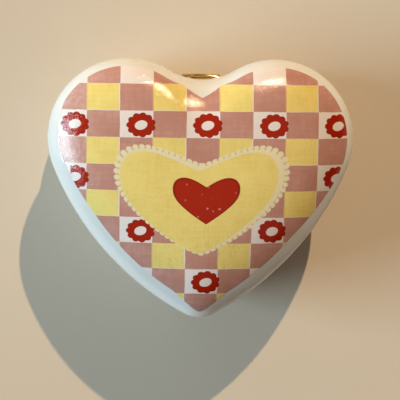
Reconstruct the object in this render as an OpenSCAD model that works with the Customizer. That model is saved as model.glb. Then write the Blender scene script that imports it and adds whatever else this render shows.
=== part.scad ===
// Hinged porcelain pill box in the shape of a puffed heart.
// Frame: +X to the right, +Y to the hinge and the cleft, -Y to the tip, +Z up.
// Origin: middle of the box's width and depth, on the surface it stands on.
// The lid and the base are cast shells. A round brass bezel is cemented into each,
// and the two bezels are hinged together at the back, in the cleft of the heart.

/* [Heart] */
// Width across both lobes
body_w = 55.5; // [50:0.5:62]
// Depth from the tip to the back of the lobes
body_d = 47.4; // [46:0.1:49]
// Total height with the lid shut
body_h = 25; // [23:0.5:28]
// Radius of each lobe
lobe_r = 14.4; // [14:0.1:15]
// Radius of the rounded cleft between the lobes
cleft_r = 11.4; // [10:0.1:13]
// Radius of the rounded tip
tip_r = 5.4; // [5:0.1:6.5]
// Angle below the X axis at which a lobe runs into its flank
flank_turn = 21.5; // [18:0.5:26]

/* [Lid shell] */
// Height of the lid's widest line above the seam
lid_widest = 4.6; // [4.4:0.1:5.2]
// Roundness of the crown: low is a dome, high is a flat pillow
crown_power = 3.2; // [2.4:0.1:4]
// Share of the crown's height that is lost towards the tip
tip_drop = 0.25; // [0:0.05:0.4]
// Share of the crown's height that is gained towards the lobes
lobe_rise = 0.1; // [0:0.02:0.14]

/* [Base shell] */
// Height of the seam, where lid and base meet
seam_z = 12.2; // [11.5:0.1:12.5]
// How far the base stands back inside the lid's outline
base_step = 0.6; // [0.5:0.1:1]
// Depth of the base's widest line below the seam
base_widest = 4.4; // [4.2:0.1:4.8]
// Size of the flat foot as a share of the base's outline
foot_share = 0.76; // [0.7:0.01:0.8]

/* [Walls] */
// Thickness of the porcelain
wall = 2.6; // [2.2:0.1:3]
// Half of the gap between the lid's and the base's porcelain
half_gap = 0.25; // [0.2:0.05:0.4]
// How far the shells are rounded in at the seam along the sides
seam_round = 1.7; // [1.4:0.1:2]
// How much further they are rounded in behind the hinge, so that the lid can turn
lobe_relief = 2.3; // [2.2:0.1:3]

/* [Bezels] */
// Outer radius of the lid's bezel, over its rolled rim
bezel_r = 14.05; // [13.9:0.05:14.2]
// How much smaller the base's bezel is, so that the lid's rim can swing down past it
base_bezel_step = 0.95; // [0.9:0.05:1]
// Distance of the bezels' centre behind the middle of the box
bezel_y = 6.95; // [6.8:0.05:7]
// Outer radius of the collar that reaches into the porcelain
collar_r = 10.5; // [10.2:0.1:10.6]
// Depth of the collar, from the seam
collar_depth = 3.2; // [2.6:0.1:3.4]
// Thickness of the flange
flange_t = 0.5; // [0.4:0.05:0.6]
// Radius of the bead rolled along the flange's rim
bead_r = 0.4; // [0.35:0.05:0.45]
// Thickness of the collar and of the lip
sheet_t = 0.4; // [0.35:0.05:0.45]
// Height of the base bezel's lip above the seam
lip_h = 1; // [0.8:0.1:1.2]

/* [Hinge] */
// Distance of the hinge axis behind the middle of the box
hinge_y = 20.15; // [20.1:0.05:20.2]
// Outer radius of the knuckles
knuckle_r = 0.8; // [0.75:0.05:0.8]
// Radius of the hinge pin
pin_r = 0.4; // [0.35:0.05:0.45]
// Running clearance of the pin in the lid's knuckle
pin_play = 0.03; // [0.02:0.01:0.05]
// Length of the whole barrel
barrel_l = 6.9; // [6.5:0.1:7.2]
// Length of the lid's middle knuckle
lid_knuckle_l = 2.2; // [2:0.1:2.6]

/* [Hidden] */
$fn = 96;

// Outline: the arcs' centres, and the angles at which one arc hands over to the next
lobe_c = [body_w / 2 - lobe_r, body_d / 2 - lobe_r];
tip_c = [0, tip_r - body_d / 2];
cleft_c = [0, lobe_c[1] + sqrt(pow(cleft_r + lobe_r, 2) - pow(lobe_c[0], 2))];
turn_dir = [cos(flank_turn), -sin(flank_turn)];
turn_point = lobe_c + lobe_r * turn_dir;
tip_to_turn = tip_c - turn_point;
flank_r = (tip_r * tip_r - tip_to_turn * tip_to_turn) / (2 * (tip_to_turn * turn_dir + tip_r));
flank_c = turn_point - flank_r * turn_dir;
cleft_end = atan2(lobe_c[1] - cleft_c[1], lobe_c[0]);
tip_start = atan2(tip_c[1] - flank_c[1], -flank_c[0]);

// Number of steps along the cleft, the lobe, the flank and the tip, on one side
arc_steps = [4, 22, 16, 4];

// Crown and bowl: the point that their rings shrink towards, the rings' steps in degrees,
// and the share of the outline at which the floor's last ring lies
crown_c = [0, 4];
crown_h = body_h - seam_z - lid_widest;
crown_step = 9;
bowl_end = 66;
bowl_step = 11;
floor_share = 0.35;

// Edges at the seam: where the relief begins, half the width of the cleft, the share of the
// rounding that is left in the cleft, the steps from the seam to the widest line, and how far
// above the seam the curve is pulled out
relief_start = 16;
cleft_half = 7;
cleft_round = 0.5;
edge_steps = 7;
edge_pull = 0.7;

// Round opening, and the rebate around it that takes the bezel's flange and rim
bezel_c = [0, bezel_y];
base_bezel_r = bezel_r - base_bezel_step;
seat_play = 0.1;
lid_seat_r = bezel_r + seat_play;
base_seat_r = base_bezel_r + seat_play;
seat_depth = 1.3;
seat_land = 0.08;
seat_blend = 0.9;
cement_t = 0.4;
cement_bed = 1.4;
opening_play = 0.05;
opening_r = collar_r + cement_t + opening_play;

// Cavity: the depth of the opening's rim, how far the cavity lies inside the outline, and the
// shoulder between them, as [depth below the rim, share of the way out]
rim_cover = 0.3;
rim_depth = collar_depth + rim_cover;
cavity_margin = 0.4;
cavity_inset = wall + cavity_margin;
shoulder_near = [0.25, 0.3];
shoulder_far = [0.5, 0.8];
cavity_step = 15;

// Fits between the bezels and in the hinge
bezel_gap = 0.05;
flange_step = 0.1;
bead_sink = 0.15;
lip_play = 0.15;
lip_step_top = -0.9;
lip_step_bottom = -1.4;
knuckle_gap = 0.1;
cove_r = knuckle_r + 0.1;

porcelain_color = [0.95, 0.94, 0.91];
brass_color = [0.78, 0.6, 0.25];
cement_color = [0.8, 0.78, 0.7];

// ---- Outline -------------------------------------------------------------------------------

// Points along an arc, each as [x, y, inward normal x, inward normal y].
// side is -1 on a bulge, whose centre lies inside the heart, and 1 in the cleft.
function arc_points(c, r, from, to, steps, side) = [
    for (k = [0 : steps - 1])
        let (a = from + (to - from) * k / steps)
        [c[0] + r * cos(a), c[1] + r * sin(a), side * cos(a), side * sin(a)]
];

right_edge = concat(
    arc_points(cleft_c, cleft_r, -90, cleft_end, arc_steps[0], 1),
    arc_points(lobe_c, lobe_r, cleft_end + 180, -flank_turn, arc_steps[1], -1),
    arc_points(flank_c, flank_r, -flank_turn, tip_start, arc_steps[2], -1),
    arc_points(tip_c, tip_r, tip_start, -90, arc_steps[3], -1),
    [[0, -body_d / 2, 0, 1]]
);
left_edge = [
    for (k = [len(right_edge) - 2 : -1 : 1])
        let (p = right_edge[k])
        [-p[0], p[1], -p[2], p[3]]
];
heart = concat(right_edge, left_edge);

function inset_point(p, d) = [p[0] + d * p[2], p[1] + d * p[3]];
function smooth(t) = let (u = min(1, max(0, t))) u * u * (3 - 2 * u);
function mix(a, b, t) = a * (1 - t) + b * t;

// ---- Rings: the heart's outline at one height, moved in, shrunk or turned into a circle ---------

function inset_ring(d, z) = [for (p = heart) let (q = inset_point(p, d)) [q[0], q[1], z]];

function shrunk_point(p, d, share) =
    crown_c + share * (inset_point(p, d) - crown_c);

function shrunk_ring(d, share, z) = [
    for (p = heart)
        let (q = shrunk_point(p, d, share))
        [q[0], q[1], z]
];

function circle_ring(r, z) = [
    for (p = heart)
        let (v = [p[0], p[1]] - bezel_c)
        let (q = bezel_c + v * r / norm(v))
        [q[0], q[1], z]
];

// A ring of the shoulder that leads from the opening's rim out to the cavity; up is 1 on the lid
// and -1 on the base
function shoulder_ring(shoulder, cavity, up) =
    let (rim = circle_ring(opening_r, seam_z + up * (rim_depth + shoulder[0])))
    [for (i = [0 : len(rim) - 1]) mix(rim[i], cavity[i], shoulder[1])];

// ---- Rounded-in edge at the seam ---------------------------------------------------------------

// How far the edge is rounded in at one point of the outline: least in the cleft, most on the
// lobes behind the hinge
function edge_inset(p) =
    let (back = max(0, p[1] - relief_start) / (body_d / 2 - relief_start))
    let (out_of_cleft = p[1] > 0 ? smooth(abs(p[0]) / cleft_half) : 1)
    mix(cleft_round * seam_round, seam_round + lobe_relief * back * back, out_of_cleft);

// Distance of the rounded edge from the bezel's axis
function edge_reach(p, step) = norm(inset_point(p, step + edge_inset(p)) - bezel_c);

// The edge lies half a gap from the seam, and higher where it crosses the bezel's rim
function edge_gap(p, step, seat_r) =
    mix(seat_depth, half_gap, smooth((edge_reach(p, step) - seat_r - 2 * seat_land) / seat_blend));

// One point of the rounded edge as [distance moved in, distance from the seam]:
// t = 0 at the seam and 1 at the widest line
function edge_curve(p, step, seat_r, widest, t) =
    let (d = edge_inset(p))
    let (gap = edge_gap(p, step, seat_r))
    [
        d * pow(1 - t, 2),
        gap * pow(1 - t, 2) + 2 * t * (1 - t) * (gap + edge_pull * d) + t * t * widest
    ];

// The same as a ring; up is 1 on the lid and -1 on the base
function edge_ring(step, seat_r, widest, t, up) = [
    for (p = heart)
        let (c = edge_curve(p, step, seat_r, widest, t))
        let (q = inset_point(p, step + c[0]))
        [q[0], q[1], seam_z + up * c[1]]
];

// Rim of the rebate for the bezel. It runs out through the wall in the cleft, where a narrow
// land keeps it inside the rounded edge.
function seat_ring(step, seat_r, depth, land, up) = [
    for (p = heart)
        let (v = inset_point(p, step + edge_inset(p)) - bezel_c)
        let (q = bezel_c + v / norm(v) * min(seat_r, norm(v) - land))
        [q[0], q[1], seam_z + up * max(depth, edge_gap(p, step, seat_r))]
];

// ---- Closed skin through a stack of rings, with a point at each end ----------------------------

module closed_skin(first, rings, last) {
    n = len(rings[0]);
    m = len(rings);
    points = concat([first], [for (ring = rings) each ring], [last]);
    end = len(points) - 1;
    first_cap = [for (i = [0 : n - 1]) [0, 1 + i, 1 + (i + 1) % n]];
    sides = [
        for (k = [0 : m - 2], i = [0 : n - 1])
            let (a = 1 + k * n + i)
            let (b = 1 + k * n + (i + 1) % n)
            each [[b, a, a + n], [b, a + n, b + n]]
    ];
    last_cap = [for (i = [0 : n - 1]) [end - n + (i + 1) % n, end - n + i, end]];
    polyhedron(points, concat(first_cap, sides, last_cap), convexity = 8);
}

// ---- Lid shell ---------------------------------------------------------------------------------

// Height gained towards the lobes and lost towards the tip
function crown_share(y) =
    y < crown_c[1]
        ? 1 - tip_drop * pow((crown_c[1] - y) / (crown_c[1] + body_d / 2), 2)
        : 1 + lobe_rise * pow((y - crown_c[1]) / (body_d / 2 - crown_c[1]), 2);

// A ring of the crown; angle is 0 at the widest line and 90 at the top
function crown_ring(d, height, base_z, angle) = [
    for (p = heart)
        let (q = shrunk_point(p, d, pow(cos(angle), 2 / crown_power)))
        [q[0], q[1], base_z + height * sin(angle) * crown_share(q[1])]
];

module lid_shell() {
    widest_z = seam_z + lid_widest;
    inner_h = crown_h - wall;
    outside = [
        for (a = [90 - crown_step : -crown_step : crown_step])
            crown_ring(0, crown_h, widest_z, a)
    ];
    edge = [
        for (k = [edge_steps : -1 : 0])
            edge_ring(0, lid_seat_r, lid_widest, k / edge_steps, 1)
    ];
    seat = [
        seat_ring(0, lid_seat_r, half_gap, seat_land, 1),
        seat_ring(0, lid_seat_r, seat_depth, 2 * seat_land, 1),
        circle_ring(opening_r, seam_z + seat_depth),
        circle_ring(opening_r, seam_z + rim_depth)
    ];
    under_rim = inset_ring(cavity_inset, widest_z);
    inside = concat(
        [shoulder_ring(shoulder_near, under_rim, 1)],
        [shoulder_ring(shoulder_far, under_rim, 1)],
        [under_rim],
        [
            for (a = [cavity_step : cavity_step : 90 - cavity_step])
                crown_ring(cavity_inset, inner_h, widest_z, a)
        ]
    );
    color(porcelain_color)
        closed_skin(
            [0, crown_c[1], body_h],
            concat(outside, edge, seat, inside),
            [0, crown_c[1], widest_z + inner_h]
        );
}

// ---- Base shell --------------------------------------------------------------------------------

// A ring of the bowl below the widest line; angle is 0 at that line and bowl_end at the foot
function bowl_ring(d, share, top_z, bottom_z, angle) =
    let (in = (1 - cos(angle)) / (1 - cos(bowl_end)))
    let (down = sin(angle) / sin(bowl_end))
    shrunk_ring(d, 1 - (1 - share) * in, mix(top_z, bottom_z, down));

module base_shell() {
    widest_z = seam_z - base_widest;
    inner_inset = base_step + cavity_inset;
    cavity_top = inset_ring(inner_inset, widest_z);
    inside = concat(
        [shrunk_ring(inner_inset, floor_share, wall)],
        [
            for (a = [bowl_end : -bowl_step : bowl_step])
                bowl_ring(inner_inset, foot_share, widest_z, wall, a)
        ],
        [cavity_top],
        [shoulder_ring(shoulder_far, cavity_top, -1)],
        [shoulder_ring(shoulder_near, cavity_top, -1)]
    );
    seat = [
        circle_ring(opening_r, seam_z - rim_depth),
        circle_ring(opening_r, seam_z - seat_depth),
        seat_ring(base_step, base_seat_r, seat_depth, 2 * seat_land, -1),
        seat_ring(base_step, base_seat_r, half_gap, seat_land, -1)
    ];
    edge = [
        for (k = [0 : edge_steps])
            edge_ring(base_step, base_seat_r, base_widest, k / edge_steps, -1)
    ];
    outside = concat(
        [
            for (a = [bowl_step : bowl_step : bowl_end])
                bowl_ring(base_step, foot_share, widest_z, 0, a)
        ],
        [shrunk_ring(base_step, floor_share, 0)]
    );
    color(porcelain_color)
        closed_skin(
            [0, crown_c[1], wall],
            concat(inside, seat, edge, outside),
            [0, crown_c[1], 0]
        );
}

// ---- Bezels ------------------------------------------------------------------------------------

// Flange and collar of one bezel, drawn above the seam
module bezel_section(rim_r) {
    translate([collar_r - sheet_t, bezel_gap]) {
        square([rim_r - collar_r + sheet_t, flange_t]);
        square([sheet_t, collar_depth - bezel_gap]);
    }
}

// Bead rolled along the rim of the lid's bezel
module bead_section() {
    translate([bezel_r - bead_r, bezel_gap + flange_t + bead_r - bead_sink])
        circle(bead_r);
}

// Lip of the base bezel: it stands up inside the lid's collar and steps out to its own
module lip_section() {
    lip_out = collar_r - sheet_t - lip_play;
    lip_in = lip_out - sheet_t;
    polygon([
        [lip_in, lip_step_bottom], [collar_r - sheet_t / 2, lip_step_bottom],
        [collar_r - sheet_t / 2, lip_step_top], [lip_out, lip_step_top],
        [lip_out, lip_h], [lip_in, lip_h]
    ]);
}

// Bar along the hinge axis, used for knuckles, the pin and the room around them
module along_hinge(r, from, to) {
    translate([from, hinge_y, seam_z])
        rotate([0, 90, 0])
            cylinder(r = r, h = to - from);
}

module lid_bezel() {
    color(brass_color)
        difference() {
            translate([0, bezel_y, seam_z])
                rotate_extrude() {
                    bezel_section(bezel_r - flange_step);
                    bead_section();
                }
            along_hinge(knuckle_r, -lid_knuckle_l / 2, lid_knuckle_l / 2);
            along_hinge(cove_r, -barrel_l / 2 - knuckle_gap, -lid_knuckle_l / 2);
            along_hinge(cove_r, lid_knuckle_l / 2, barrel_l / 2 + knuckle_gap);
        }
}

module base_bezel() {
    color(brass_color)
        difference() {
            translate([0, bezel_y, seam_z]) {
                mirror([0, 0, 1])
                    rotate_extrude()
                        bezel_section(base_bezel_r);
                rotate_extrude()
                    lip_section();
            }
            along_hinge(knuckle_r, -barrel_l / 2, barrel_l / 2);
            along_hinge(cove_r, -lid_knuckle_l / 2 - knuckle_gap, lid_knuckle_l / 2 + knuckle_gap);
        }
}

// ---- Cement that holds each bezel in its shell ---------------------------------------------------

// A bed under the flange and a sleeve around the collar
module cement_section() {
    flange_top = bezel_gap + flange_t;
    translate([collar_r, flange_top]) {
        square([cement_bed, seat_depth - flange_top]);
        square([cement_t, collar_depth - flange_top]);
    }
}

module lid_cement() {
    color(cement_color)
        translate([0, bezel_y, seam_z])
            rotate_extrude()
                cement_section();
}

module base_cement() {
    color(cement_color)
        translate([0, bezel_y, seam_z])
            rotate_extrude()
                mirror([0, 1])
                    cement_section();
}

// ---- Hinge -------------------------------------------------------------------------------------

module knuckle(from, to, bore_r) {
    color(brass_color)
        difference() {
            along_hinge(knuckle_r, from, to);
            along_hinge(bore_r, from - 1, to + 1);
        }
}

module base_knuckle_left() {
    knuckle(-barrel_l / 2, -lid_knuckle_l / 2 - knuckle_gap, pin_r);
}

module base_knuckle_right() {
    knuckle(lid_knuckle_l / 2 + knuckle_gap, barrel_l / 2, pin_r);
}

module lid_knuckle() {
    knuckle(-lid_knuckle_l / 2, lid_knuckle_l / 2, pin_r + pin_play);
}

module hinge_pin() {
    color(brass_color)
        along_hinge(pin_r, -barrel_l / 2 - knuckle_gap, barrel_l / 2 + knuckle_gap);
}

base_shell();
lid_shell();
base_bezel();
lid_bezel();
base_cement();
lid_cement();
base_knuckle_left();
base_knuckle_right();
lid_knuckle();
hinge_pin();
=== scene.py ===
"""Hinged porcelain pill box in the shape of a puffed heart: shells, print, finishes, light and camera.

Shapes are worked out in millimetres, in the frame of the CAD model, and turned into metres when a
mesh is made. +X is right, +Y is towards the hinge and the cleft of the heart, +Z is up.
"""

import math

import bpy
import numpy as np
from mathutils import Matrix, Quaternion, Vector


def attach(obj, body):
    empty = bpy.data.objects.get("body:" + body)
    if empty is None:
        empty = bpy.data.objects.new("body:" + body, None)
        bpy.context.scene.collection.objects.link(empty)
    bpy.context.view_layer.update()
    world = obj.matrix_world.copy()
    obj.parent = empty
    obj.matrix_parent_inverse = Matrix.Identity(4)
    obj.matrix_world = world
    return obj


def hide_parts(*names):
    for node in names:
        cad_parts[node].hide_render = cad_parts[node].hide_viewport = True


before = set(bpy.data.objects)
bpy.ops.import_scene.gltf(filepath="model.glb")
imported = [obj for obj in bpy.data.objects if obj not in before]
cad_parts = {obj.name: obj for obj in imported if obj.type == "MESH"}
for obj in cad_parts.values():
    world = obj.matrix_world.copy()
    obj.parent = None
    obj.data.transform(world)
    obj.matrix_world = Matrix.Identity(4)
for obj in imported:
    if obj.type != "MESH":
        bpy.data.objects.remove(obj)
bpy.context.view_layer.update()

MM = 0.001

# ---- Sizes, as in the CAD model, in millimetres -------------------------------------------------

BODY_W = 55.5
BODY_D = 47.4
BODY_H = 25.0
LOBE_R = 14.4
CLEFT_R = 11.4
TIP_R = 5.4
FLANK_TURN = 21.5

SEAM_Z = 12.2
LID_WIDEST = 4.6
CROWN_POWER = 3.2
TIP_DROP = 0.25
LOBE_RISE = 0.1
BASE_STEP = 0.6
BASE_WIDEST = 4.4
FOOT_SHARE = 0.76
BOWL_END = 66.0
FLOOR_SHARE = 0.35

WALL = 2.6
HALF_GAP = 0.25
SEAM_ROUND = 1.7
CLEFT_ROUND = 0.5
LOBE_RELIEF = 2.3
RELIEF_START = 16.0
CLEFT_HALF = 7.0
EDGE_PULL = 0.7

BEZEL_Y = 6.95
LID_SEAT_R = 14.15
BASE_SEAT_R = 13.2
SEAT_DEPTH = 1.3
SEAT_LAND = 0.08
SEAT_BLEND = 0.9
OPENING_R = 10.95
RIM_DEPTH = 3.5
CAVITY_INSET = WALL + 0.4
# Height past the rim and share of the way out to the cavity, at two rings of its shoulder
SHOULDER_NEAR = (0.25, 0.3)
SHOULDER_FAR = (0.5, 0.8)

CROWN_C = np.array([0.0, 4.0])
CROWN_H = BODY_H - SEAM_Z - LID_WIDEST
BEZEL_C = np.array([0.0, BEZEL_Y])

# Steps along the cleft, the lobe, the flank and the tip on one side, and up the crown and edge
ARC_STEPS = (12, 64, 46, 14)
CROWN_STEPS = 36
CAVITY_ANGLES = np.linspace(7.5, 82.5, 11)
EDGE_STEPS = 14
BOWL_STEPS = 18

# ---- Outline of the heart -----------------------------------------------------------------------


def arc(centre, radius, start, end, steps, side):
    """Rows of x, y and the inward normal along an arc. side is -1 on a bulge and 1 in the cleft."""
    angle = np.radians(np.linspace(start, end, steps, endpoint=False))
    out = np.column_stack([np.cos(angle), np.sin(angle)])
    return np.hstack([np.asarray(centre) + radius * out, side * out])


def heart_outline():
    """The lid's outline at its widest line, clockwise from the bottom of the cleft."""
    lobe_c = np.array([BODY_W / 2 - LOBE_R, BODY_D / 2 - LOBE_R])
    tip_c = np.array([0.0, TIP_R - BODY_D / 2])
    cleft_c = np.array([0.0, lobe_c[1] + math.sqrt((CLEFT_R + LOBE_R) ** 2 - lobe_c[0] ** 2)])
    turn = math.radians(FLANK_TURN)
    turn_dir = np.array([math.cos(turn), -math.sin(turn)])
    turn_point = lobe_c + LOBE_R * turn_dir
    to_tip = tip_c - turn_point
    flank_r = (TIP_R**2 - to_tip @ to_tip) / (2 * (to_tip @ turn_dir + TIP_R))
    flank_c = turn_point - flank_r * turn_dir
    cleft_end = math.degrees(math.atan2(lobe_c[1] - cleft_c[1], lobe_c[0]))
    tip_start = math.degrees(math.atan2(tip_c[1] - flank_c[1], -flank_c[0]))
    right = np.vstack(
        [
            arc(cleft_c, CLEFT_R, -90, cleft_end, ARC_STEPS[0], 1),
            arc(lobe_c, LOBE_R, cleft_end + 180, -FLANK_TURN, ARC_STEPS[1], -1),
            arc(flank_c, flank_r, -FLANK_TURN, tip_start, ARC_STEPS[2], -1),
            arc(tip_c, TIP_R, tip_start, -90, ARC_STEPS[3], -1),
            [[0.0, -BODY_D / 2, 0.0, 1.0]],
        ]
    )
    left = right[-2:0:-1] * np.array([-1.0, 1.0, -1.0, 1.0])
    rows = np.vstack([right, left])
    return rows[:, :2], rows[:, 2:]


EDGE, INWARD = heart_outline()


def smooth(t):
    u = np.clip(t, 0, 1)
    return u * u * (3 - 2 * u)


def mix(a, b, t):
    return a * (1 - t) + b * t


def inset(distance):
    """The outline moved in by a distance, which may differ from point to point."""
    return EDGE + np.reshape(distance, (-1, 1)) * INWARD


def shrunk(distance, share):
    return CROWN_C + share * (inset(distance) - CROWN_C)


def ring(points, z):
    """Points in plan with their height, as x, y, z."""
    return np.column_stack([points, np.broadcast_to(z, len(points))])


# ---- Rings of the two shells --------------------------------------------------------------------


def crown_share(y):
    """Height gained towards the lobes and lost towards the tip."""
    front = (CROWN_C[1] - y) / (CROWN_C[1] + BODY_D / 2)
    back = (y - CROWN_C[1]) / (BODY_D / 2 - CROWN_C[1])
    return np.where(y < CROWN_C[1], 1 - TIP_DROP * front**2, 1 + LOBE_RISE * back**2)


def crown_ring(distance, height, base_z, angle):
    """One ring of a crown; angle is 0 at the widest line and 90 at the top."""
    a = math.radians(angle)
    points = shrunk(distance, math.cos(a) ** (2 / CROWN_POWER))
    return ring(points, base_z + height * math.sin(a) * crown_share(points[:, 1]))


def edge_inset():
    """How far the edge is rounded in at the seam, at each point of the outline."""
    x, y = EDGE[:, 0], EDGE[:, 1]
    back = np.maximum(0, y - RELIEF_START) / (BODY_D / 2 - RELIEF_START)
    out_of_cleft = np.where(y > 0, smooth(np.abs(x) / CLEFT_HALF), 1)
    return mix(CLEFT_ROUND * SEAM_ROUND, SEAM_ROUND + LOBE_RELIEF * back**2, out_of_cleft)


def edge_gap(step, seat_r):
    """Distance of the edge from the seam: more where it crosses the bezel's rim."""
    reach = np.linalg.norm(inset(step + edge_inset()) - BEZEL_C, axis=1)
    return mix(SEAT_DEPTH, HALF_GAP, smooth((reach - seat_r - 2 * SEAT_LAND) / SEAT_BLEND))


def edge_ring(step, seat_r, widest, t, up):
    """One ring of the rounded edge: t is 0 at the seam and 1 at the widest line."""
    d = edge_inset()
    gap = edge_gap(step, seat_r)
    rise = gap * (1 - t) ** 2 + 2 * t * (1 - t) * (gap + EDGE_PULL * d) + t * t * widest
    return ring(inset(step + d * (1 - t) ** 2), SEAM_Z + up * rise)


def circle_ring(radius, z):
    v = EDGE - BEZEL_C
    return ring(BEZEL_C + radius * v / np.linalg.norm(v, axis=1)[:, None], z)


def seat_ring(step, seat_r, depth, land, up):
    """Rim of the rebate that takes the bezel's flange."""
    v = inset(step + edge_inset()) - BEZEL_C
    reach = np.linalg.norm(v, axis=1)
    points = BEZEL_C + v * (np.minimum(seat_r, reach - land) / reach)[:, None]
    return ring(points, SEAM_Z + up * np.maximum(depth, edge_gap(step, seat_r)))


def shoulder_ring(shoulder, z, up, cavity):
    """A ring between the opening's rim at height z and the ring where the cavity begins."""
    rise, share = shoulder
    return mix(circle_ring(OPENING_R, z + up * rise), cavity, share)


def bowl_ring(distance, share, top_z, bottom_z, angle):
    a, end = math.radians(angle), math.radians(BOWL_END)
    across = (1 - math.cos(a)) / (1 - math.cos(end))
    down = math.sin(a) / math.sin(end)
    return ring(shrunk(distance, 1 - (1 - share) * across), mix(top_z, bottom_z, down))


def lid_rings():
    widest_z = SEAM_Z + LID_WIDEST
    inner_h = CROWN_H - WALL
    seat_top = SEAM_Z + SEAT_DEPTH
    rim_top = SEAM_Z + RIM_DEPTH
    under_rim = ring(inset(CAVITY_INSET), widest_z)
    angles = np.linspace(90, 0, CROWN_STEPS + 1)[1:-1]
    rings = [crown_ring(0, CROWN_H, widest_z, a) for a in angles]
    rings += [
        edge_ring(0, LID_SEAT_R, LID_WIDEST, t, 1) for t in np.linspace(1, 0, EDGE_STEPS + 1)
    ]
    rings += [
        seat_ring(0, LID_SEAT_R, HALF_GAP, SEAT_LAND, 1),
        seat_ring(0, LID_SEAT_R, SEAT_DEPTH, 2 * SEAT_LAND, 1),
        circle_ring(OPENING_R, seat_top),
        circle_ring(OPENING_R, rim_top),
        shoulder_ring(SHOULDER_NEAR, rim_top, 1, under_rim),
        shoulder_ring(SHOULDER_FAR, rim_top, 1, under_rim),
        under_rim,
    ]
    rings += [crown_ring(CAVITY_INSET, inner_h, widest_z, a) for a in CAVITY_ANGLES]
    first = [0, CROWN_C[1], BODY_H]
    last = [0, CROWN_C[1], widest_z + inner_h]
    return first, rings, last


def base_rings():
    widest_z = SEAM_Z - BASE_WIDEST
    inner = BASE_STEP + CAVITY_INSET
    seat_bottom = SEAM_Z - SEAT_DEPTH
    rim_bottom = SEAM_Z - RIM_DEPTH
    cavity_top = ring(inset(inner), widest_z)
    angles = np.linspace(0, BOWL_END, BOWL_STEPS + 1)
    rings = [ring(shrunk(inner, FLOOR_SHARE), WALL)]
    rings += [bowl_ring(inner, FOOT_SHARE, widest_z, WALL, a) for a in angles[:0:-1]]
    rings += [
        cavity_top,
        shoulder_ring(SHOULDER_FAR, rim_bottom, -1, cavity_top),
        shoulder_ring(SHOULDER_NEAR, rim_bottom, -1, cavity_top),
        circle_ring(OPENING_R, rim_bottom),
        circle_ring(OPENING_R, seat_bottom),
        seat_ring(BASE_STEP, BASE_SEAT_R, SEAT_DEPTH, 2 * SEAT_LAND, -1),
        seat_ring(BASE_STEP, BASE_SEAT_R, HALF_GAP, SEAT_LAND, -1),
    ]
    rings += [
        edge_ring(BASE_STEP, BASE_SEAT_R, BASE_WIDEST, t, -1)
        for t in np.linspace(0, 1, EDGE_STEPS + 1)
    ]
    rings += [bowl_ring(BASE_STEP, FOOT_SHARE, widest_z, 0, a) for a in angles[1:]]
    rings += [ring(shrunk(BASE_STEP, FLOOR_SHARE), 0)]
    return [0, CROWN_C[1], WALL], rings, [0, CROWN_C[1], 0]


# ---- Meshes -------------------------------------------------------------------------------------


def add_mesh(name, points, faces, sharp_angle=35):
    """A smooth-shaded object from points in millimetres."""
    mesh = bpy.data.meshes.new(name)
    mesh.from_pydata((np.asarray(points) * MM).tolist(), [], faces)
    mesh.shade_smooth()
    mesh.set_sharp_from_angle(angle=math.radians(sharp_angle))
    mesh.update()
    obj = bpy.data.objects.new(name, mesh)
    bpy.context.scene.collection.objects.link(obj)
    return obj


def skin_faces(n, rings, closed_end):
    """Faces of a skin through rings of n points, fanned to point 0 and, if closed, to the last."""
    faces = [(0, 1 + i, 1 + (i + 1) % n) for i in range(n)]
    for k in range(rings - 1):
        a = 1 + k * n
        faces += [(a + i, a + n + i, a + n + (i + 1) % n, a + (i + 1) % n) for i in range(n)]
    if closed_end:
        end = rings * n + 1
        faces += [(end - n + (i + 1) % n, end - n + i, end) for i in range(n)]
    return faces


def closed_skin(name, first, rings, last):
    points = np.vstack([[first], *rings, [last]])
    faces = skin_faces(len(EDGE), len(rings), True)
    return add_mesh(name, points, [tuple(reversed(f)) for f in faces])


# ---- Printed film on the crown ------------------------------------------------------------------

# White margin between the print and the lid's outline, and where it is wider
FILM_MARGIN = 1.5
FILM_NOTCH = 1.8
FILM_NOTCH_HALF = 3.0
FILM_SIDE_LEFT = 0.9
FILM_FLANK_LEFT = 0.75
FILM_FLANK_RIGHT = 1.4
# Each of these three starts at the first height, going down, and is full after the second length
FILM_SIDE_LEFT_RAMP = (17, 8)
FILM_FLANK_LEFT_RAMP = (6, 12)
FILM_FLANK_RIGHT_RAMP = (2, 12)
FILM_TIP_HALF = 6.5
FILM_LIFT = 0.025
FILM_STEPS = 44


def crown_height(points):
    """Height of the lid's outer surface over points in plan."""
    around = EDGE - CROWN_C
    angle = np.arctan2(around[:, 1], around[:, 0])
    reach = np.linalg.norm(around, axis=1)
    v = points - CROWN_C
    edge_reach = np.interp(np.arctan2(v[:, 1], v[:, 0]), angle, reach, period=2 * math.pi)
    share = np.clip(np.linalg.norm(v, axis=1) / edge_reach, 0, 1)
    sine = np.sqrt(1 - share**CROWN_POWER)
    return SEAM_Z + LID_WIDEST + CROWN_H * sine * crown_share(points[:, 1])


def down_from(y, ramp):
    """0 above the ramp's start and 1 below its end."""
    start, length = ramp
    return np.clip((start - y) / length, 0, 1)


def film_edge():
    """Outline of the print: the lid's, moved in, with a V in the cleft and straighter flanks."""
    x, y = EDGE[:, 0], EDGE[:, 1]
    notch = FILM_NOTCH * np.where(y > 0, np.clip(1 - np.abs(x) / FILM_NOTCH_HALF, 0, 1), 0)
    left = FILM_SIDE_LEFT * down_from(y, FILM_SIDE_LEFT_RAMP)
    left += FILM_FLANK_LEFT * down_from(y, FILM_FLANK_LEFT_RAMP)
    right = FILM_FLANK_RIGHT * down_from(y, FILM_FLANK_RIGHT_RAMP)
    flank = np.where(x < 0, left, right) * np.clip(np.abs(x) / FILM_TIP_HALF, 0, 1)
    return inset(FILM_MARGIN + notch + flank)


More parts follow.
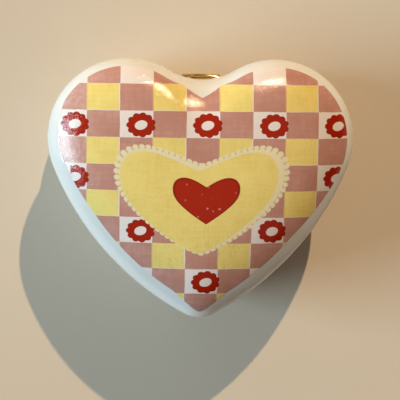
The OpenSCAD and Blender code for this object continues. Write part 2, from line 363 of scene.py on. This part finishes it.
def build_film():
    edge = film_edge()
    shares = np.sin(np.linspace(0, math.pi / 2, FILM_STEPS + 1)[1:])
    rings = [CROWN_C + t * (edge - CROWN_C) for t in shares]
    plan = np.vstack([[CROWN_C], *rings])
    points = ring(plan, crown_height(plan))
    faces = [tuple(reversed(f)) for f in skin_faces(len(edge), len(rings), False)]
    film = add_mesh("lid_print", points, faces, sharp_angle=80)
    normals = np.array([v.normal for v in film.data.vertices])
    lift = np.full(len(points), FILM_LIFT)
    lift[-len(edge) :] = -FILM_LIFT / 2
    lifted = (points + normals * lift[:, None]) * MM
    film.data.vertices.foreach_set("co", lifted.ravel())
    film.data.update()
    return film


# ---- Shader arithmetic --------------------------------------------------------------------------


class Field:
    """A number that varies over a surface. Arithmetic on it adds math nodes to its tree."""

    def __init__(self, tree, socket):
        self.tree = tree
        self.socket = socket

    def math(self, operation, *values):
        node = self.tree.nodes.new("ShaderNodeMath")
        node.operation = operation
        for slot, value in zip(node.inputs, values):
            if isinstance(value, Field):
                self.tree.links.new(value.socket, slot)
            else:
                slot.default_value = value
        return Field(self.tree, node.outputs[0])

    def __add__(self, other):
        return self.math("ADD", self, other)

    def __sub__(self, other):
        return self.math("SUBTRACT", self, other)

    def __rsub__(self, other):
        return self.math("SUBTRACT", other, self)

    def __mul__(self, other):
        return self.math("MULTIPLY", self, other)

    def __truediv__(self, other):
        return self.math("DIVIDE", self, other)

    def __pow__(self, other):
        return self.math("POWER", self, other)

    __radd__ = __add__
    __rmul__ = __mul__

    def size(self):
        return self.math("ABSOLUTE", self)

    def root(self):
        return self.math("SQRT", self)

    def least(self, other):
        return self.math("MINIMUM", self, other)

    def most(self, other):
        return self.math("MAXIMUM", self, other)

    def ramp(self, start, end):
        """0 at start and before, 1 at end and after."""
        node = self.tree.nodes.new("ShaderNodeMapRange")
        node.interpolation_type = "SMOOTHSTEP"
        self.tree.links.new(self.socket, node.inputs["Value"])
        node.inputs["From Min"].default_value = start
        node.inputs["From Max"].default_value = end
        return Field(self.tree, node.outputs["Result"])

    def below(self, edge, blur):
        """1 where this is under edge and 0 where it is over, with a slightly soft border."""
        return (edge - self).ramp(-blur, blur)


class Paint:
    """A material with one Principled shader, and the helpers that build its patterns."""

    def __init__(self, name):
        self.material = bpy.data.materials.new(name)
        self.material.use_nodes = True
        self.tree = self.material.node_tree
        self.shader = self.tree.nodes["Principled BSDF"]
        self.place = self.tree.nodes.new("ShaderNodeTexCoord").outputs["Object"]

    def set(self, **values):
        """Constants, straight on the shader's own sockets."""
        for name, value in values.items():
            self.shader.inputs[name.replace("_", " ")].default_value = value

    def drive(self, name, value):
        source = value.socket if isinstance(value, Field) else value
        self.tree.links.new(source, self.shader.inputs[name])

    def position(self):
        """x, y and z in millimetres."""
        split = self.tree.nodes.new("ShaderNodeSeparateXYZ")
        self.tree.links.new(self.place, split.inputs[0])
        return [Field(self.tree, out) * (1 / MM) for out in split.outputs]

    def stretched(self, scale):
        """The place on the object, stretched, for grain that runs one way."""
        node = self.tree.nodes.new("ShaderNodeMapping")
        self.tree.links.new(self.place, node.inputs["Vector"])
        node.inputs["Scale"].default_value = scale
        return node.outputs["Vector"]

    def noise(self, grain, detail=2.0, rough=0.5, place=None):
        """Noise from 0 to 1 with blotches of about grain millimetres."""
        node = self.tree.nodes.new("ShaderNodeTexNoise")
        self.tree.links.new(place or self.place, node.inputs["Vector"])
        node.inputs["Scale"].default_value = 1 / (grain * MM)
        node.inputs["Detail"].default_value = detail
        node.inputs["Roughness"].default_value = rough
        return Field(self.tree, node.outputs["Fac"])

    def spots(self, spacing):
        """Distance to the nearest of many scattered points, as a share of their spacing."""
        node = self.tree.nodes.new("ShaderNodeTexVoronoi")
        self.tree.links.new(self.place, node.inputs["Vector"])
        node.inputs["Scale"].default_value = 1 / (spacing * MM)
        return Field(self.tree, node.outputs["Distance"])

    def blend(self, base, over, amount):
        """Colour over laid on colour base by amount; each colour is a triple or a socket."""
        node = self.tree.nodes.new("ShaderNodeMix")
        node.data_type = "RGBA"
        for slot, value in ((node.inputs[6], base), (node.inputs[7], over)):
            if isinstance(value, tuple):
                slot.default_value = (*value, 1)
            else:
                self.tree.links.new(value, slot)
        if isinstance(amount, Field):
            self.tree.links.new(amount.socket, node.inputs[0])
        else:
            node.inputs[0].default_value = amount
        return node.outputs[2]

    def bump(self, height, depth):
        """Bumps of a height field; depth in millimetres."""
        node = self.tree.nodes.new("ShaderNodeBump")
        node.inputs["Strength"].default_value = 1.0
        node.inputs["Distance"].default_value = depth * MM
        self.tree.links.new(height.socket, node.inputs["Height"])
        self.tree.links.new(node.outputs["Normal"], self.shader.inputs["Normal"])


# ---- Glazed porcelain ---------------------------------------------------------------------------

GLAZE_WHITE = (0.80, 0.79, 0.775)
GLAZE_SHADE = (0.76, 0.745, 0.71)
BISQUE = (0.66, 0.60, 0.51)
GRIME = (0.33, 0.27, 0.20)
GLAZE_WAVE = 6.5


def glaze_waves(paint):
    """Slow waviness of a poured glaze with a little orange peel."""
    return paint.noise(GLAZE_WAVE, 1.0) * 0.85 + paint.noise(0.9, 2.0) * 0.15


def porcelain(name, foot):
    """White glaze. foot says that the lowest edge is rubbed bare where the box stands."""
    paint = Paint(name)
    z = paint.position()[2]
    colour = paint.blend(GLAZE_WHITE, GLAZE_SHADE, paint.noise(9.0, 3.0).ramp(0.35, 0.75))
    pits = paint.spots(3.4).below(0.045, 0.015) * paint.noise(7.0).ramp(0.45, 0.6)
    colour = paint.blend(colour, GRIME, pits * 0.7)
    seam = (z - SEAM_Z).size().below(1.1, 0.6) * paint.noise(2.4, 4.0).ramp(0.3, 0.8)
    colour = paint.blend(colour, GRIME, seam * 0.14)
    rough = 0.1 + paint.noise(2.5, 4.0).ramp(0.4, 0.75) * 0.1
    if foot:
        bare = z.below(0.35, 0.25) * paint.noise(1.2, 4.0).ramp(0.1, 0.5)
        colour = paint.blend(colour, BISQUE, bare)
        rough = rough + bare * 0.5
    paint.drive("Base Color", colour)
    paint.drive("Roughness", rough)
    paint.set(IOR=1.5, Coat_Weight=0.25, Coat_Roughness=0.04)
    paint.bump(glaze_waves(paint) - pits * 0.6, 0.09)
    return paint.material


# ---- Printed patchwork --------------------------------------------------------------------------

PRINT_WHITE = (0.84, 0.755, 0.73)
PINK = (0.52, 0.25, 0.20)
PINK_PALE = (0.68, 0.40, 0.35)
YELLOW = (0.87, 0.70, 0.235)
YELLOW_DEEP = (0.77, 0.57, 0.145)
ORANGE_EDGE = (0.58, 0.26, 0.11)
CREAM = (0.84, 0.74, 0.50)
LACE_SHADE = (0.60, 0.44, 0.22)
STAIN = (0.36, 0.34, 0.20)
RED = (0.38, 0.014, 0.001)
RED_BLOTCH = (0.42, 0.02, 0.005)
RED_EDGE = (0.16, 0.004, 0.003)

CELL_W = 5.86
CELL_H = 4.7
GRID_X = 0.17
GRID_Y = 4.98
ROW_AT_GRID_Y = 4

# Each print layer lies a little off the one below
CELL_WOBBLE = (0.22, 0.18)
YELLOW_SHIFT = (-0.14, 0.05)

# Flowers: reach, scallops, how much wider than tall, and the hole with its lean to the right
FLOWER_R = 2.27
FLOWER_SCALLOP = 0.34
FLOWER_SCALLOPS = 11
FLOWER_SQUASH = 1.2
FLOWER_HOLE = (1.11, 0.8)
HOLE_LEAN = (0.97, 0.26)
FLOWER_RIM = 0.14
# The print has no flowers left of this line and below this height, nor beside the tip
BARE_LEFT_X = -23.3
BARE_LEFT_Y = 6.0
BARE_TIP_X = (5.5, 5.7)
BARE_TIP_Y = -12.5
# Where the pink turns paler towards the left (a painted sheen of the light from the left, with rubbed
# specks), and where the red flowers are worn to specks
LEFT_SHEEN_AND_RUB_X = (-16.0, -26.0)
WEAR_X = (-20.5, -22.5)

# Hearts: centre, then half width, half height and lean of the sides
LACE_AT = (0.03, -3.0)
LACE_SIZE = (15.1, 8.0, 7.8)
YELLOW_HEART_AT = (-0.45, -3.44)
YELLOW_HEART_SIZE = (14.0, 7.45, 7.8)
RED_HEART_AT = (0.85, -2.27)
RED_HEART_SIZE = (5.95, 3.3, 3.5)
RED_HEART_POINT = 1.0

# Lace: middle and radius of its lobe, where its flank and top face, and the length of a picot
LACE_LOBE = (9.6, 5.7)
LACE_LOBE_R = 5.5
LACE_FLANK_FACES = -50.0
LACE_TOP_FACES = 106.0
PICOT = 1.1
PICOT_REACH = 0.11

LAYER_SHIFT = 0.79
LAYER_DROP = 0.14
INK_BLUR = 0.07


def whole(value):
    return value.math("FLOOR", value)


def is_odd(value):
    """1 where a whole number is odd and 0 where it is even."""
    half = value * 0.5
    return ((half - whole(half)) * 2).ramp(0.4, 0.6)


def cell_of(x, y):
    """Column and row numbers, and how far into the cell a point lies, from -0.5 to 0.5."""
    column = (x - GRID_X) / CELL_W + 0.5
    row = (GRID_Y - y) / CELL_H + ROW_AT_GRID_Y
    return whole(column), whole(row), column - whole(column) - 0.5, row - whole(row) - 0.5


def square_edge(across, down):
    """Distance inside the nearest side of the cell, in millimetres."""
    return ((0.5 - across.size()) * CELL_W).least((0.5 - down.size()) * CELL_H)


def heart_gauge(x, y, half_w, half_h, lean, point=1.25):
    """Under 1 inside a heart whose sides lean up by about lean. A small point gives sharp corners."""
    across = (x / half_w).size()
    middle = across**point * (1.1 - 0.25 * across**2) * lean
    up = ((y - middle) / half_h).size()
    return across**2.5 + up**2.2


def turn_of(x, y):
    return x.math("ARCTAN2", y, x)


def scallops(way, length):
    """0 between and 1 at the middle of each scallop; way and length in the same unit."""
    return way.math("SINE", way * (math.pi / length)).size()


def along(x, y, degrees):
    """Distance from the origin in a direction given in degrees."""
    a = math.radians(degrees)
    return x * math.cos(a) + y * math.sin(a)


def way_round_lace(x, y):
    """Millimetres along the lace: its flank, the round of its lobe, then its top edge."""
    across = x.size() - LACE_LOBE[0]
    up = y - LACE_LOBE[1]
    middle = (LACE_FLANK_FACES + LACE_TOP_FACES) / 2
    half = math.radians(LACE_TOP_FACES - LACE_FLANK_FACES) / 2
    turn = turn_of(along(across, up, middle), along(across, up, middle + 90))
    round_part = turn.most(-half).least(half) * LACE_LOBE_R
    on_top = along(across, up, LACE_TOP_FACES).ramp(0, 0.1)
    top_part = along(across, up, LACE_TOP_FACES + 90).most(0) * on_top
    on_flank = along(across, up, LACE_FLANK_FACES).ramp(0, 0.1)
    flank_part = along(across, up, LACE_FLANK_FACES - 90).most(0) * on_flank
    return round_part + top_part - flank_part


def flower_masks(across, down):
    """Scalloped red flower in a white cell, and its rim. The red layer lies a bit to the right."""
    x = across * CELL_W - LAYER_SHIFT
    y = down * -CELL_H + LAYER_DROP
    round_y = y * FLOWER_SQUASH
    reach = (x**2 + round_y**2).root()
    wave = scallops(turn_of(x, round_y), math.tau / FLOWER_SCALLOPS)
    edge = FLOWER_R + wave * FLOWER_SCALLOP
    hole_x = x * HOLE_LEAN[0] + y * HOLE_LEAN[1]
    hole_y = y * HOLE_LEAN[0] - x * HOLE_LEAN[1]
    hole = ((hole_x / FLOWER_HOLE[0]) ** 2 + (hole_y / FLOWER_HOLE[1]) ** 2).below(1.0, 0.12)
    petal = (reach - edge).below(0.0, INK_BLUR) * (1 - hole)
    rim = (reach - edge).size().below(FLOWER_RIM, 0.1) * petal
    return petal, rim


def red_ink_masks(x, y, wx, wy, across, down, white_cell):
    """The red layer's petals and rims, with the part that spills into the cell on the right."""
    petal, rim = flower_masks(across, down)
    spill_column, spill_row, spill_across, spill_down = cell_of(wx - CELL_W, wy)
    spill_petal, spill_rim = flower_masks(spill_across + 1.0, spill_down)
    spill_white = (1 - is_odd(spill_column)) * (1 - is_odd(spill_row))
    spill_cell = spill_white * spill_row.ramp(0.4, 0.6)
    red = (petal * white_cell).most(spill_petal * spill_cell)
    red_rim = (rim * white_cell).most(spill_rim * spill_cell)
    red = red * (1 - x.below(BARE_LEFT_X, 0.2) * y.below(BARE_LEFT_Y, 0.5))
    red = red * (1 - x.size().ramp(*BARE_TIP_X) * y.below(BARE_TIP_Y, 0.1))
    return red, red_rim


def heart_at(x, y, centre, size, *point):
    return heart_gauge(x - centre[0], y - centre[1], *size, *point)


def add_lace(paint, colour, x, y):
    """The cream lace with its picots and a row of small holes."""
    picots = scallops(way_round_lace(x - LACE_AT[0], y - LACE_AT[1]), PICOT)
    lace = heart_at(x, y, LACE_AT, LACE_SIZE)
    inside = (lace - picots.root() * PICOT_REACH).below(0.97, 0.03)
    holes = (lace - 0.96).size().below(0.045, 0.03) * (1 - picots).ramp(0.3, 0.75)
    colour = paint.blend(colour, CREAM, inside)
    return paint.blend(colour, LACE_SHADE, holes * 0.7)


def add_red_heart(paint, colour, x, y, blotch):
    """The red heart, with a darker rim and a few light specks."""
    heart = heart_at(x, y, RED_HEART_AT, RED_HEART_SIZE, RED_HEART_POINT)
    specks = paint.spots(1.3).below(0.17, 0.06) * paint.noise(2.0).ramp(0.5, 0.54)
    red_ink = paint.blend(RED, RED_BLOTCH, blotch)
    colour = paint.blend(colour, red_ink, heart.below(1.0, 0.05))
    colour = paint.blend(colour, RED_EDGE, (heart - 0.93).size().below(0.06, 0.05) * 0.7)
    return paint.blend(colour, PINK_PALE, specks * heart.below(0.9, 0.05) * 0.6)


def pink_ink_of(paint, x, blotch, weave):
    """Pink, paler in blotches, with a painted sheen paling it towards the left and rubbed specks
    there.
    """
    ink = paint.blend(PINK, PINK_PALE, (blotch * 0.7 + weave * 0.8).ramp(0.2, 0.9))
    rubbed = paint.noise(0.8, 3.0).ramp(0.42, 0.62)
    # Painted sheen: the pink turns paler towards the left, where the light from the left glints on the
    # glaze; the specks rubbed to white there are wear
    left_sheen_and_rub = x.ramp(*LEFT_SHEEN_AND_RUB_X)
    ink = paint.blend(ink, PINK_PALE, left_sheen_and_rub * 0.5)
    return paint.blend(ink, PRINT_WHITE, left_sheen_and_rub * rubbed * 0.2)


def printed(name):
    """The decal under its glaze: cells, flowers, lace and hearts, with its layers out of register."""
    paint = Paint(name)
    x, y = paint.position()[:2]
    wx = x + (paint.noise(3.0, 3.0) - 0.5) * CELL_WOBBLE[0]
    wy = y + (paint.noise(2.3, 3.0) - 0.5) * CELL_WOBBLE[1]
    column, row, across, down = cell_of(wx, wy)
    odd_column, odd_row = is_odd(column), is_odd(row)
    weave_x = paint.noise(0.45, 2.0, place=paint.stretched((1.0, 0.12, 0.3)))
    weave_y = paint.noise(0.45, 2.0, place=paint.stretched((0.12, 1.0, 0.3)))
    weave = (weave_x + weave_y - 1.0) * 0.45
    blotch = paint.noise(4.0, 4.0)

    # Pink cells everywhere but in the white and yellow ones
    same = odd_column * odd_row + (1 - odd_column) * (1 - odd_row)
    colour = paint.blend(pink_ink_of(paint, x, blotch, weave), PRINT_WHITE, same)

    # Yellow cells, printed from a plate that sits a little to the left
    place = cell_of(wx - YELLOW_SHIFT[0], wy - YELLOW_SHIFT[1])
    yellow_cell = is_odd(place[0]) * is_odd(place[1])
    ink = yellow_cell * square_edge(place[2], place[3]).ramp(0.0, 0.1)
    yellow_ink = paint.blend(YELLOW, YELLOW_DEEP, (blotch * 0.6 + weave * 0.9).ramp(0.1, 0.8))
    over_pink = ink * (1 - same)
    colour = paint.blend(colour, CREAM, yellow_cell * 0.8)
    colour = paint.blend(colour, yellow_ink, ink * (1 - over_pink))
    colour = paint.blend(colour, ORANGE_EDGE, over_pink * 0.8)

    # Red flowers in the white cells, from the second row down
    white_cell = (1 - odd_column) * (1 - odd_row) * row.ramp(0.4, 0.6)
    red, red_rim = red_ink_masks(x, y, wx, wy, across, down, white_cell)
    whole_ink = 1 - x.ramp(*WEAR_X) * paint.spots(0.5).below(0.2, 0.1) * 0.6
    colour = paint.blend(colour, RED, red * whole_ink)
    colour = paint.blend(colour, RED_EDGE, red_rim * red * whole_ink * 0.6)

    # Lace, the yellow heart on it and the red heart on that
    colour = add_lace(paint, colour, x, y)
    on_heart = heart_at(x, y, YELLOW_HEART_AT, YELLOW_HEART_SIZE).below(1.0, 0.025)
    colour = paint.blend(colour, yellow_ink, on_heart)
    colour = add_red_heart(paint, colour, x, y, blotch)

    # Grey-green stains that run down the yellow
    streaks = paint.noise(1.1, 4.0, place=paint.stretched((1.0, 0.3, 1.0))).ramp(0.56, 0.74)
    low_middle = y.ramp(-4.0, -9.0) * x.size().below(8.5, 2.0)
    stained = streaks * low_middle * yellow_cell.most(on_heart)
    colour = paint.blend(colour, STAIN, stained * 0.35)

    # Flecks of dirt
    dirt = paint.spots(2.6).below(0.05, 0.02) * paint.noise(5.0).ramp(0.5, 0.6)
    colour = paint.blend(colour, GRIME, dirt * 0.5)

    paint.drive("Base Color", colour)
    paint.drive("Roughness", 0.07 + paint.noise(1.0, 4.0).ramp(0.35, 0.75) * 0.1)
    paint.set(IOR=1.45, Coat_Weight=0.1, Coat_Roughness=0.06)
    grain = paint.noise(0.32, 2.0) * 0.58
    paint.bump(glaze_waves(paint) + grain + weave * 0.05, 0.1)
    return paint.material


# ---- Brass and cement ---------------------------------------------------------------------------


BRASS = (0.78, 0.57, 0.24)
BRASS_TARNISHED = (0.42, 0.26, 0.09)
CEMENT = (0.50, 0.46, 0.38)
CEMENT_DARK = (0.34, 0.30, 0.23)


def brass():
    paint = Paint("brass_worn")
    tarnish = paint.noise(2.2, 5.0, 0.6).ramp(0.45, 0.8)
    scratch = paint.noise(0.25, 3.0, place=paint.stretched((0.15, 1.0, 1.0)))
    colour = paint.blend(BRASS, BRASS_TARNISHED, tarnish)
    paint.drive("Base Color", colour)
    paint.drive("Roughness", 0.13 + tarnish * 0.22 + (scratch - 0.5) * 0.12)
    paint.set(Metallic=1.0)
    paint.bump(scratch * 0.4 + paint.noise(1.2, 2.0) * 0.6, 0.012)
    return paint.material


def cement():
    paint = Paint("cement_matte")
    grain = paint.noise(0.3, 4.0, 0.7)
    colour = paint.blend(CEMENT, CEMENT_DARK, grain.ramp(0.35, 0.7))
    paint.drive("Base Color", colour)
    paint.drive("Roughness", 0.75 + grain * 0.2)
    paint.bump(grain, 0.08)
    return paint.material


# ---- The object ---------------------------------------------------------------------------------


def finish_with(obj, material):
    obj.data.materials.clear()
    obj.data.materials.append(material)


def build_object():
    lid = closed_skin("lid_glazed", *lid_rings())
    base = closed_skin("base_glazed", *base_rings())
    film = build_film()
    finish_with(lid, porcelain("glaze_lid", False))
    finish_with(base, porcelain("glaze_base", True))
    finish_with(film, printed("print_patchwork"))
    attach(lid, "lid")
    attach(base, "base")
    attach(film, "lid")
    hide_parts("lid_shell")
    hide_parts("base_shell")
    metal = brass()
    filler = cement()
    for name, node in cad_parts.items():
        if name.endswith("cement"):
            finish_with(node, filler)
        elif not name.endswith("shell"):
            finish_with(node, metal)


# ---- Floor, light and camera --------------------------------------------------------------------


FLOOR_HALF = 5000.0
FLOOR_TONE = (0.70, 0.60, 0.49)
FLOOR_TONE_DARK = (0.66, 0.56, 0.45)

LIGHT_AIM = Vector((0, 0, 12))
WARM = (1.0, 0.75, 0.46)
COOL = (0.68, 0.93, 1.06)
SOFT = (1.0, 0.83, 0.7)
WORLD_LIGHT = (0.012, 0.012, 0.012, 1)

CAMERA_AIM = Vector((0.0, -2.0, 16.8))
CAMERA_DISTANCE = 235.0
CAMERA_VIEW = 17.67
CAMERA_SENSOR = 36.0
TILT_BACK = 5.6
TILT_LEFT = 2.0
CAMERA_ROLL = 0.7


def build_floor():
    half = FLOOR_HALF
    points = [(-half, -half, 0), (half, -half, 0), (half, half, 0), (-half, half, 0)]
    floor = add_mesh("floor", points, [(0, 1, 2, 3)])
    paint = Paint("floor_pale")
    tone = paint.noise(60.0, 3.0).ramp(0.3, 0.7) * 0.6 + paint.noise(1.5, 4.0) * 0.4
    paint.drive("Base Color", paint.blend(FLOOR_TONE, FLOOR_TONE_DARK, tone))
    paint.set(Roughness=0.85, Specular_IOR_Level=0.08)
    finish_with(floor, paint.material)


def towards(turn, rise):
    """Direction to a light: degrees round from the hinge side to the right, and above the floor."""
    a, b = math.radians(turn), math.radians(rise)
    return Vector((math.sin(a) * math.cos(b), math.cos(a) * math.cos(b), math.sin(b)))


def add_light(name, shape, direction, distance, size, power, colour):
    """A flat light aimed at the object; distance, width and height are in millimetres."""
    data = bpy.data.lights.new(name, "AREA")
    data.energy = power
    data.color = colour
    data.shape = shape
    data.size = size[0] * MM
    data.size_y = size[1] * MM
    light = bpy.data.objects.new(name, data)
    light.location = (LIGHT_AIM + distance * direction) * MM
    light.rotation_mode = "QUATERNION"
    light.rotation_quaternion = direction.to_track_quat("Z", "Y")
    bpy.context.scene.collection.objects.link(light)


def build_world():
    """A little even light from all round, so that no side of the object goes black."""
    world = bpy.data.worlds.new("studio")
    world.use_nodes = True
    world.node_tree.nodes["Background"].inputs["Color"].default_value = WORLD_LIGHT
    bpy.context.scene.world = world


def build_light():
    build_world()
    add_light("key", "DISK", towards(15.1, 35.6), 1700, (24, 24), 23.5, WARM)
    add_light("fill", "RECTANGLE", towards(-94, 21), 1600, (850, 720), 28.0, COOL)
    add_light("over", "RECTANGLE", towards(0, 89), 1500, (3200, 3200), 7.0, SOFT)
    bpy.context.scene.view_settings.view_transform = "Standard"


def build_camera():
    """Nearly overhead, a little behind the hinge and to the left of the middle."""
    data = bpy.data.cameras.new("camera")
    data.sensor_width = CAMERA_SENSOR
    data.lens = CAMERA_SENSOR / 2 / math.tan(math.radians(CAMERA_VIEW / 2))
    data.clip_start = 10 * MM
    data.clip_end = 12000 * MM
    tilt_back, tilt_left = math.radians(TILT_BACK), math.radians(TILT_LEFT)
    back = Vector((-math.sin(tilt_left), math.sin(tilt_back), 1)).normalized()
    right = Vector((0, 1, 0)).cross(back).normalized()
    upright = Matrix((right, back.cross(right), back)).transposed().to_quaternion()
    camera = bpy.data.objects.new("camera", data)
    camera.location = (CAMERA_AIM + CAMERA_DISTANCE * back) * MM
    camera.rotation_mode = "QUATERNION"
    camera.rotation_quaternion = Quaternion(back, math.radians(CAMERA_ROLL)) @ upright
    bpy.context.scene.collection.objects.link(camera)
    bpy.context.scene.camera = camera


build_object()
build_floor()
build_light()
build_camera()
